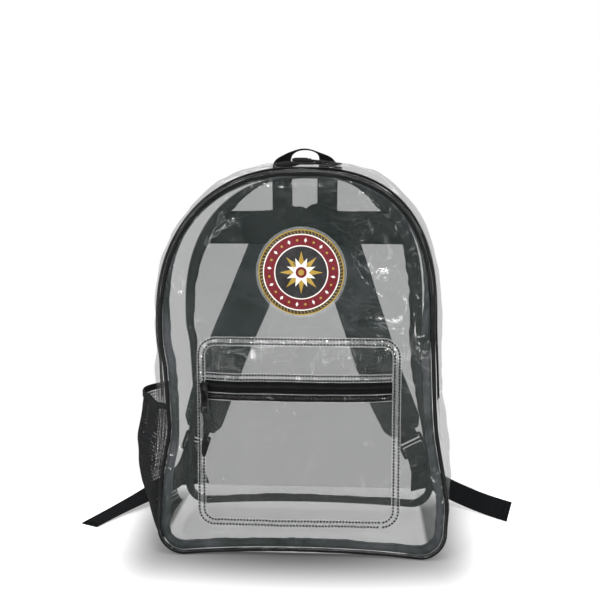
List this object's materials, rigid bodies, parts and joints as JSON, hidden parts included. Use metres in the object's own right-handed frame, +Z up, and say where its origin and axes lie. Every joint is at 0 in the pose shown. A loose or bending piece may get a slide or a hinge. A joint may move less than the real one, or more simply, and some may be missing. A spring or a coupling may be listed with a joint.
{
  "type": "clear backpack",
  "caption": "Clear vinyl day backpack with piped front, arched zip, front pocket, net side pocket, padded shoulder straps and haul loop.",
  "frame": {"origin": "bottom centre of the part's box, on the floor the bag stands on", "axes": "+Z up, -Y out of the bag's front, +X to the right as the front is seen"},
  "size_m": [0.5302, 0.2246, 0.459],
  "materials": {
    "film": "clear smoky vinyl film, glossy and creased",
    "piping": "glossy black vinyl over a round filler",
    "binding": "slate-grey woven seam tape seen through the film",
    "zip": "black woven tape and nylon coil",
    "metal": "black painted cast metal, satin",
    "plastic": "black moulded plastic",
    "webbing": "black woven webbing and cord",
    "cloth": "charcoal woven cloth",
    "net": "black knitted net",
    "badge": "printed round badge in dark red, white, gold and black"
  },
  "bodies": {
    "root": {"front_panel": "film", "back_panel": "film", "gusset_front": "film", "gusset_rear": "film", "gusset_bottom": "film", "pocket_panel": "film", "pocket_top_band": "film", "pocket_border": "film", "pocket_strip_upper": "film", "pocket_strip_lower": "film", "front_piping": "piping", "front_binding": "binding", "back_binding": "binding", "main_zip_tape": "zip", "main_zip_coil": "zip", "pocket_zip_tape": "zip", "pocket_zip_coil": "zip", "mesh_pocket_rim": "zip", "main_slider_left": "metal", "main_slider_right": "metal", "main_pull_tab_left": "metal", "main_pull_tab_right": "metal", "pocket_slider": "metal", "pocket_pull_tab": "metal", "main_pull_end_left": "plastic", "main_pull_end_right": "plastic", "pocket_pull_end": "plastic", "ladder_lock_left": "plastic", "ladder_lock_right": "plastic", "haul_loop": "webbing", "lock_loop_left": "webbing", "lock_loop_right": "webbing", "strap_webbing_left": "webbing", "strap_webbing_right": "webbing", "anchor_tab_left": "webbing", "anchor_tab_right": "webbing", "main_pull_strand_left": "webbing", "main_pull_strand_right": "webbing", "pocket_pull_strand": "webbing", "yoke": "cloth", "shoulder_strap_left": "cloth", "shoulder_strap_right": "cloth", "mesh_pocket": "net", "badge": "badge"}
  },
  "joints": []
}
